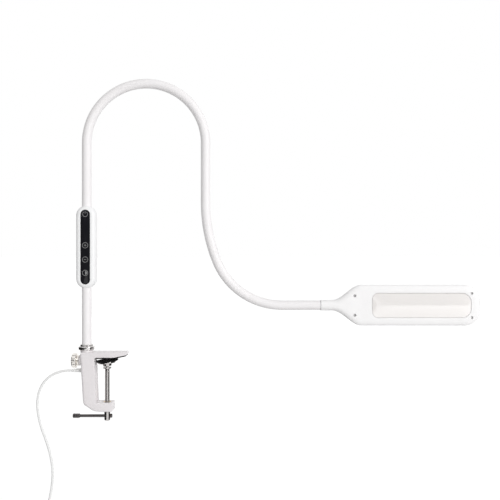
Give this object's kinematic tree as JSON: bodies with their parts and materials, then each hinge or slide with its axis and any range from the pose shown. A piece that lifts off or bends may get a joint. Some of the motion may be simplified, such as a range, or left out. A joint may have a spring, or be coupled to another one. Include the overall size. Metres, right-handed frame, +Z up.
{
  "type": "clamp-on gooseneck desk lamp",
  "caption": "White LED desk lamp: a table clamp with screw and foot, a swivelling mast with a touch control, a long bendable neck and a flat head with an opal window.",
  "frame": {"origin": "on the gripping face of the rubber liner under the table jaw, on the clamp screw's axis", "axes": "+X from the mast towards the head along the jaw, +Y away from the lit side of the head, +Z up out of the table"},
  "size_m": [0.7536, 0.038, 0.8423],
  "materials": {
    "frame_paint": "fine satin powder coat, light grey",
    "rubber_black": "matt moulded rubber",
    "brass": "turned",
    "screw_steel": "polished nickel plate",
    "bar_steel": "dark nickel plate",
    "knob_chrome": "polished, fluted rim",
    "collar_chrome": "polished, turned",
    "steel": "drawn",
    "silicone_white": "satin silicone sleeve, white",
    "cable_grey": "matt cable jacket",
    "lead_white": "satin cable jacket, white",
    "housing_white": "fine satin moulding, white",
    "head_white": "fine satin moulding, white",
    "panel_black": "high gloss",
    "lens_opal": "glossy opal diffuser",
    "reflector_white": "bright white",
    "board_green": "solder mask, green",
    "board_white": "solder mask, white",
    "parts_dark": "matt moulded cases",
    "led_yellow": "phosphor in clear resin",
    "heat_aluminium": "rolled sheet",
    "screw_dark": "blackened"
  },
  "bodies": {
    "clamp": {"clamp_body": "frame_paint", "jaw_liner": "rubber_black", "screw_bush": "brass", "lead_boot": "lead_white", "power_lead": "lead_white", "connector_body": "lead_white", "connector_contact": "steel"},
    "screw_carrier": {"thrust_washer": "screw_steel"},
    "spindle": {"clamp_screw": "screw_steel"},
    "cross_bar": {"tommy_bar": "bar_steel", "bar_caps": "bar_steel"},
    "swivel_foot": {"foot_cup": "screw_steel", "foot_pad": "rubber_black"},
    "lock_carrier": {"lock_pad": "brass"},
    "lock_screw": {"lock_knob": "knob_chrome"},
    "mast": {"mast_pin": "steel", "collar_ring": "collar_chrome", "collar_nut": "collar_chrome", "mast_tube": "steel", "mast_sleeve": "silicone_white", "mast_cable": "cable_grey", "control_back": "housing_white", "control_front": "housing_white", "touch_panel": "panel_black", "control_board": "board_green", "touch_springs": "steel", "board_parts": "parts_dark", "control_screws": "screw_dark", "neck_sleeve_1": "silicone_white", "neck_core_1": "steel", "neck_cable_1": "cable_grey"},
    "neck_2": {"neck_sleeve_2": "silicone_white", "neck_core_2": "steel", "neck_cable_2": "cable_grey"},
    "neck_3": {"neck_sleeve_3": "silicone_white", "neck_core_3": "steel", "neck_cable_3": "cable_grey"},
    "neck_4": {"neck_sleeve_4": "silicone_white", "neck_core_4": "steel", "neck_cable_4": "cable_grey"},
    "neck_5": {"neck_sleeve_5": "silicone_white", "neck_core_5": "steel", "neck_cable_5": "cable_grey"},
    "neck_6": {"neck_sleeve_6": "silicone_white", "neck_core_6": "steel", "neck_cable_6": "cable_grey"},
    "neck_7": {"neck_sleeve_7": "silicone_white", "neck_core_7": "steel", "neck_cable_7": "cable_grey"},
    "head": {"head_ferrule": "steel", "head_back": "head_white", "head_front": "head_white", "lens": "lens_opal", "reflector_frame": "reflector_white", "led_board": "board_white", "led_chips": "led_yellow", "heat_plate": "heat_aluminium", "head_cable": "cable_grey", "head_screws": "screw_dark"}
  },
  "joints": [
    {"name": "clamp_travel", "type": "slide", "parent": "clamp", "child": "screw_carrier", "axis": [0, 0, 1], "range_m": [-0.05, 0]},
    {"name": "screw_spin", "type": "hinge", "parent": "screw_carrier", "child": "spindle", "pos_m": [0, 0, 0], "axis": [0, 0, 1], "range_deg": [-14401, 0]},
    {"name": "bar_slide", "type": "slide", "parent": "spindle", "child": "cross_bar", "axis": [1, 0, 0], "range_m": [0, 0.04]},
    {"name": "foot_tilt", "type": "hinge", "parent": "screw_carrier", "child": "swivel_foot", "pos_m": [0, 0, -0.00963], "axis": [0, 1, 0], "range_deg": [-5.5, 13]},
    {"name": "lock_travel", "type": "slide", "parent": "clamp", "child": "lock_carrier", "axis": [1, 0, 0], "range_m": [-0.003, 0]},
    {"name": "lock_spin", "type": "hinge", "parent": "lock_carrier", "child": "lock_screw", "pos_m": [-0.04, 0, -0.004], "axis": [1, 0, 0], "range_deg": [-1081, 0]},
    {"name": "mast_swivel", "type": "hinge", "parent": "clamp", "child": "mast", "pos_m": [-0.035, 0, 0.011], "axis": [0, 0, 1], "range_deg": [-170, 170]},
    {"name": "neck_bend_1", "type": "hinge", "parent": "mast", "child": "neck_2", "pos_m": [-0.035, 0, 0.3653], "axis": [0, 1, 0], "range_deg": [-30, 10]},
    {"name": "neck_bend_2", "type": "hinge", "parent": "neck_2", "child": "neck_3", "pos_m": [0.066, 0, 0.4663], "axis": [0, 0, -1], "range_deg": [-30, 30]},
    {"name": "neck_bend_3", "type": "hinge", "parent": "neck_3", "child": "neck_4", "pos_m": [0.167, 0, 0.3653], "axis": [0, 1, 0], "range_deg": [-30, 20]},
    {"name": "neck_bend_4", "type": "hinge", "parent": "neck_4", "child": "neck_5", "pos_m": [0.167, 0, 0.2643], "axis": [-1, 0, 0], "range_deg": [-30, 30]},
    {"name": "neck_bend_5", "type": "hinge", "parent": "neck_5", "child": "neck_6", "pos_m": [0.18644, 0, 0.16428], "axis": [0, 1, 0], "range_deg": [-25, 25]},
    {"name": "neck_bend_6", "type": "hinge", "parent": "neck_6", "child": "neck_7", "pos_m": [0.29678, 0, 0.08986], "axis": [0, 0, -1], "range_deg": [-30, 30]},
    {"name": "head_twist", "type": "hinge", "parent": "neck_7", "child": "head", "pos_m": [0.36278, 0, 0.08986], "axis": [1, 0, 0], "range_deg": [-90, 90]}
  ],
  "couplings": [
    {"joint": "screw_spin", "follows": "clamp_travel", "rad_per_m": 5026.5},
    {"joint": "lock_spin", "follows": "lock_travel", "rad_per_m": 6283.2}
  ]
}
